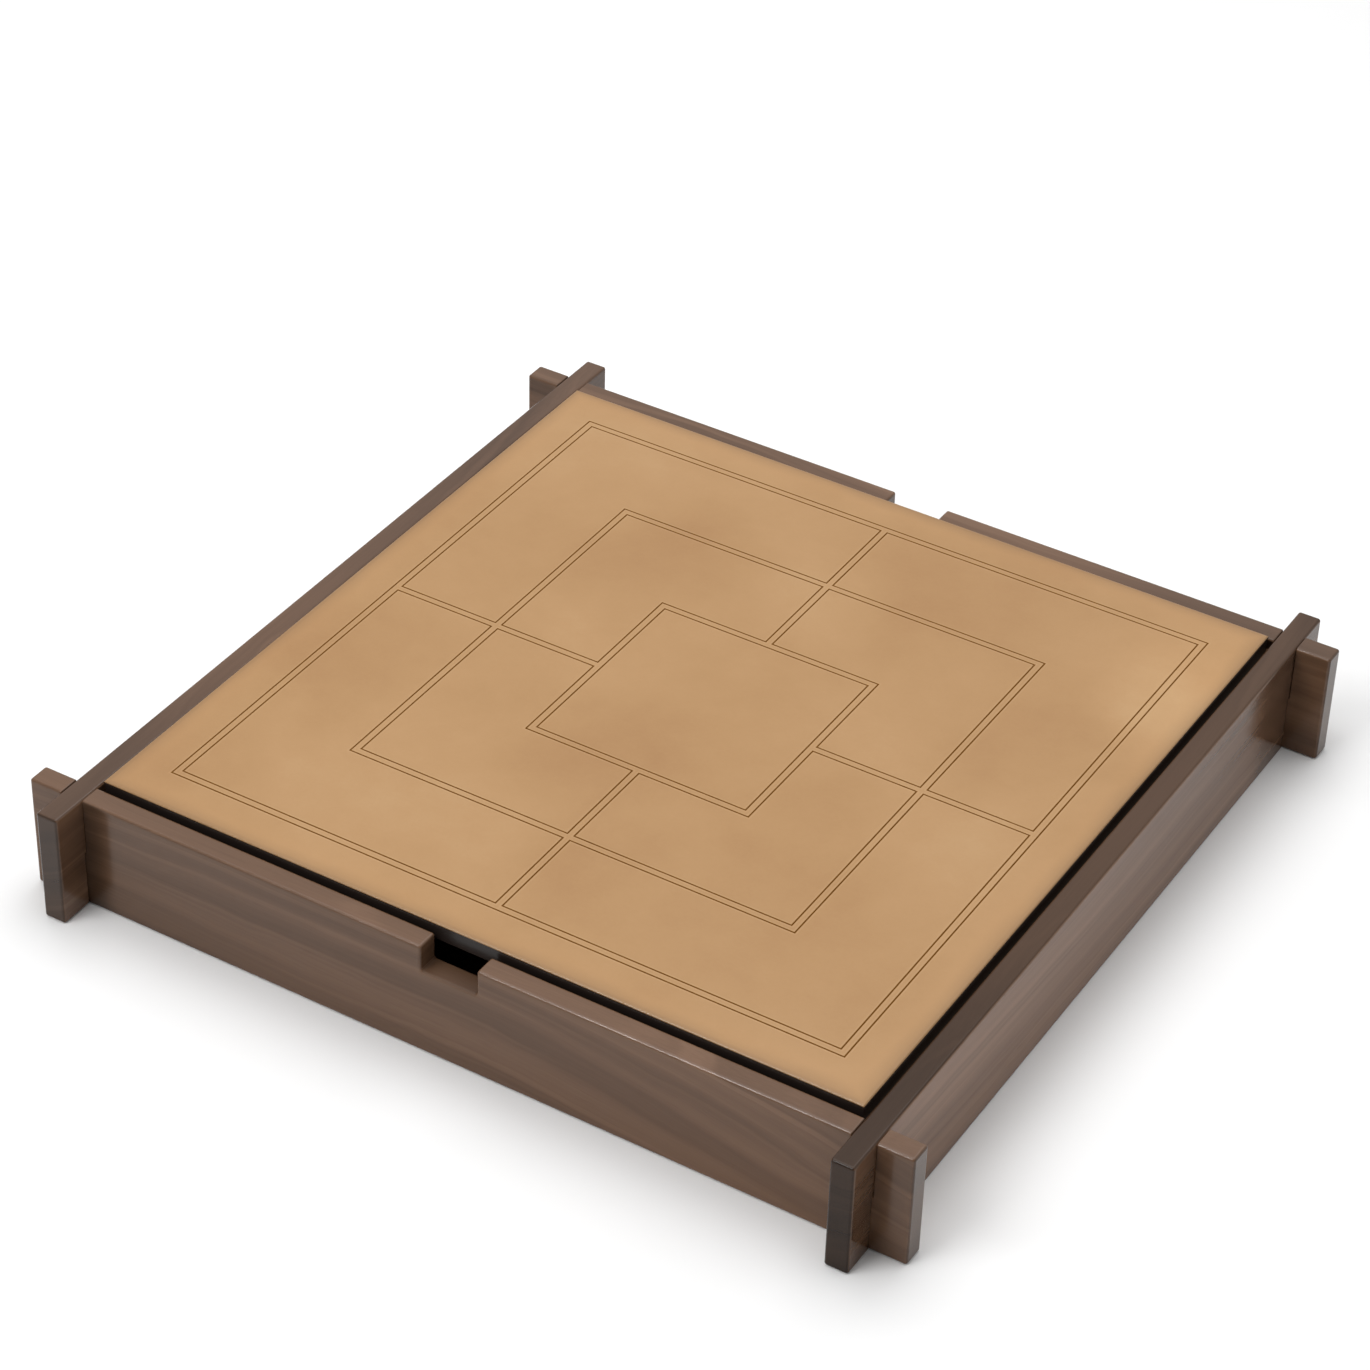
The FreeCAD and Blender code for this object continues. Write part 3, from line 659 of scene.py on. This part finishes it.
# ------------------------------------------------------------------ the men
def turned_profile():
    """Half section of a man, radius and height in millimetres, from the foot's middle round to the top's middle."""
    pts = [(0.0, 0.0), (12.6, 0.0)]
    for k in range(0, 7):
        t = math.radians(90 * k / 6)
        pts.append((13.7 + 1.3 * math.sin(t), 1.3 - 1.3 * math.cos(t)))
    pts += [(15.0, 3.6), (14.86, 3.75), (14.80, 4.0), (14.86, 4.25), (15.0, 4.4)]
    for k in range(0, 7):
        t = math.radians(90 * k / 6)
        pts.append((13.7 + 1.3 * math.cos(t), 7.7 + 1.3 * math.sin(t)))
    pts += [(12.5, 9.0), (12.0, 8.97), (11.6, 8.85), (11.15, 8.45), (10.8, 8.2), (10.3, 8.1),
            (7.6, 8.1), (7.35, 8.15), (7.1, 8.45), (6.95, 8.62), (6.8, 8.7), (6.65, 8.62), (6.5, 8.45),
            (6.25, 8.15), (6.0, 8.1), (3.0, 8.1), (0.0, 8.1)]
    return pts


def man_piece(name, node, mat):
    low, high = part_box(node)
    cx, cy, z0 = (low[0] + high[0]) / 2, (low[1] + high[1]) / 2, low[2]
    prof = turned_profile()
    seg = 72
    verts, faces = [], []
    inner = prof[1:-1]
    n = len(inner)
    for k in range(seg):
        a = 2 * math.pi * k / seg
        for r, z in inner:
            verts.append((cx + r * MM * math.cos(a), cy + r * MM * math.sin(a), z0 + z * MM))
    foot = len(verts)
    verts.append((cx, cy, z0 + prof[0][1] * MM))
    verts.append((cx, cy, z0 + prof[-1][1] * MM))
    for k in range(seg):
        k2 = (k + 1) % seg
        for i in range(n - 1):
            faces.append((k * n + i, k2 * n + i, k2 * n + i + 1, k * n + i + 1))
        faces.append((foot, k2 * n, k * n))
        faces.append((foot + 1, k * n + n - 1, k2 * n + n - 1))
    mesh = bpy.data.meshes.new(name)
    mesh.from_pydata(verts, [], faces)
    mesh.polygons.foreach_set("use_smooth", [True] * len(mesh.polygons))
    mesh.set_sharp_from_angle(angle=math.radians(42))
    mesh.materials.append(mat)
    obj = bpy.data.objects.new(name, mesh)
    scene.collection.objects.link(obj)
    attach(obj, node)
    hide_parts(node)
    return obj


maple = solid_wood("turned_maple", "y", (15.0, 0.4, 0.4), MAPLE, pith=(0.0, -0.25), bands=260.0,
                   end_dark=0.8, rough=0.30, contrast=0.7, edge_light=1.05)
wenge = solid_wood("turned_dark", "y", (17.0, 0.1, 0.4), WENGE, pith=(0.0, -0.25), bands=260.0,
                   end_dark=0.7, rough=0.30, edge_light=1.5)
for k in range(1, 10):
    man_piece("turned_light_%d" % k, "light_man_%d" % k, maple)
    man_piece("turned_dark_%d" % k, "dark_man_%d" % k, wenge)

# ------------------------------------------------------------------ floor, light, camera
net = Net("floor_paper")
paper = net.noise(net.mapping(net.coord.outputs["Object"], scale=(3.0, 3.0, 3.0)), detail=2.0)
floor_mat = net.finish(net.colours(paper, [(0.3, (0.80, 0.80, 0.80)), (0.7, (0.83, 0.83, 0.83))]), 0.9,
                       **{"Specular IOR Level": 0.1})
floor_mesh = bpy.data.meshes.new("floor")
s = 6.0
floor_mesh.from_pydata([(-s, -s, 0), (s, -s, 0), (s, s, 0), (-s, s, 0)], [], [(0, 1, 2, 3)])
floor_mesh.materials.append(floor_mat)
floor = bpy.data.objects.new("floor", floor_mesh)
floor.location.z = -0.0002
scene.collection.objects.link(floor)

world = bpy.data.worlds.new("studio")
scene.world = world
world.use_nodes = True
sky = world.node_tree
background = sky.nodes["Background"]
background.inputs["Color"].default_value = (1.0, 1.0, 1.0, 1.0)


def sky_part(direction, low, high, a, b):
    """A soft change of brightness round one direction of the studio's walls and ceiling."""
    dot = sky.nodes.new("ShaderNodeVectorMath")
    dot.operation = "DOT_PRODUCT"
    sky.links.new(sky_coord.outputs["Generated"], dot.inputs[0])
    dot.inputs[1].default_value = Vector(direction).normalized()
    n = sky.nodes.new("ShaderNodeMapRange")
    n.interpolation_type = "SMOOTHSTEP"
    sky.links.new(dot.outputs["Value"], n.inputs["Value"])
    for key, v in (("From Min", low), ("From Max", high), ("To Min", a), ("To Max", b)):
        n.inputs[key].default_value = v
    return n.outputs["Result"]


sky_coord = sky.nodes.new("ShaderNodeTexCoord")
total = sky_part((0.64, -0.77, 0.0), 0.0, 0.85, 0.52, 0.18)
for part in (sky_part((0.75, 0.65, 0.15), 0.2, 0.95, 0.0, 0.40), sky_part((-0.41, 0.69, 0.60), 0.76, 0.98, 0.0, 0.45)):
    both = sky.nodes.new("ShaderNodeMath")
    both.operation = "ADD"
    sky.links.new(total, both.inputs[0])
    sky.links.new(part, both.inputs[1])
    total = both.outputs[0]
sky.links.new(total, background.inputs["Strength"])


def softbox(name, where, target, size, power):
    lamp = bpy.data.lights.new(name, "AREA")
    lamp.shape = "RECTANGLE"
    lamp.size, lamp.size_y = size
    lamp.energy = power
    obj = bpy.data.objects.new(name, lamp)
    obj.location = where
    obj.rotation_euler = (Vector(target) - Vector(where)).to_track_quat("-Z", "Y").to_euler()
    scene.collection.objects.link(obj)
    return obj


softbox("overhead", (-0.2, 0.3, 1.9), (0, 0, 0), (1.8, 1.8), 24.0)
# the key: one soft lamp for the shading, and its small bright middle for the glints on the edges
softbox("key", (-1.38, -2.66, 3.06), (0, 0, 0), (2.3, 1.9), 84.0).visible_glossy = False
softbox("key_middle", (-1.38, -2.66, 3.06), (0, 0, 0), (0.70, 0.46), 84.0).visible_diffuse = False


def camera_at(azimuth, elevation, distance, focal, target, roll):
    """focal in pixels of the 1370-pixel frame, the rest in degrees and metres."""
    a, e, r = (math.radians(v) for v in (azimuth, elevation, roll))
    back = Vector((math.sin(a) * math.cos(e), -math.cos(a) * math.cos(e), math.sin(e)))
    right = Vector((0, 0, 1)).cross(back).normalized()
    up = back.cross(right)
    right, up = right * math.cos(r) + up * math.sin(r), up * math.cos(r) - right * math.sin(r)
    data = bpy.data.cameras.new("camera")
    data.sensor_fit = "HORIZONTAL"
    data.sensor_width = 36.0
    data.lens = focal / 1370.0 * 36.0
    data.clip_start, data.clip_end = 0.05, 50.0
    obj = bpy.data.objects.new("camera", data)
    at = Vector(target) + back * distance
    obj.matrix_world = Matrix(((right.x, up.x, back.x, at.x), (right.y, up.y, back.y, at.y),
                               (right.z, up.z, back.z, at.z), (0, 0, 0, 1)))
    scene.collection.objects.link(obj)
    scene.camera = obj


camera_at(30.4885, 36.6898, 1.97230, 3979.2, (-0.038421, 0.046909, 0.03255), 1.7599)
scene.view_settings.view_transform = "Standard"
